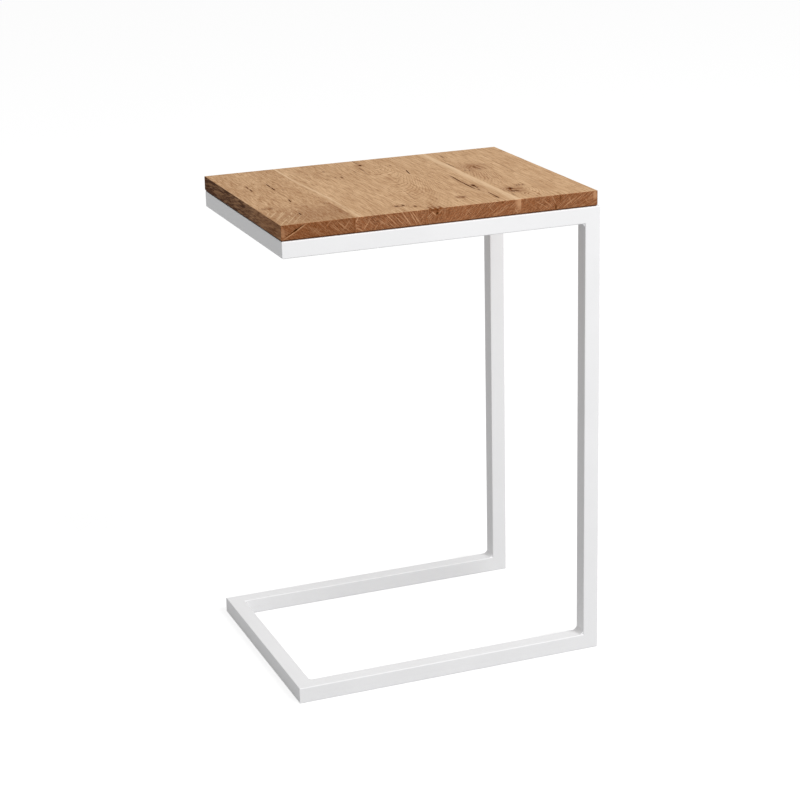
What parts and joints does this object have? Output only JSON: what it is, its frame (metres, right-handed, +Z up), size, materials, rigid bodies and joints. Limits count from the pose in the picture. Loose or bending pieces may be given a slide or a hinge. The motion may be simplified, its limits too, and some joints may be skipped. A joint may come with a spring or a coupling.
{
  "type": "c-shaped side table",
  "caption": "C-shaped side table: a solid oak top on a cantilevered frame of white square steel tube that slides over a sofa, chair or bed.",
  "frame": {"origin": "on the floor under the middle of the frame", "axes": "+X along the table towards the two uprights, -Y to the front, +Z up"},
  "size_m": [0.4007, 0.3, 0.592],
  "materials": {
    "oak": "oiled knotty oak, matt",
    "white_coat": "white powder coat, satin",
    "zinc": "bright zinc plate"
  },
  "bodies": {
    "root": {"top_front_rail": "white_coat", "top_rear_rail": "white_coat", "top_left_rail": "white_coat", "front_upright": "white_coat", "rear_upright": "white_coat", "base_front_rail": "white_coat", "base_rear_rail": "white_coat", "base_left_rail": "white_coat", "upper_front_left_weld": "white_coat", "upper_front_right_weld": "white_coat", "upper_rear_left_weld": "white_coat", "upper_rear_right_weld": "white_coat", "lower_front_left_weld": "white_coat", "lower_front_right_weld": "white_coat", "lower_rear_left_weld": "white_coat", "lower_rear_right_weld": "white_coat", "front_left_lug": "white_coat", "front_middle_lug": "white_coat", "front_right_lug": "white_coat", "rear_left_lug": "white_coat", "rear_middle_lug": "white_coat", "rear_right_lug": "white_coat", "lug_welds": "white_coat", "oak_left_board": "oak", "oak_middle_board": "oak", "oak_right_board": "oak", "fixing_screws": "zinc", "screw_washers": "zinc"}
  },
  "joints": []
}
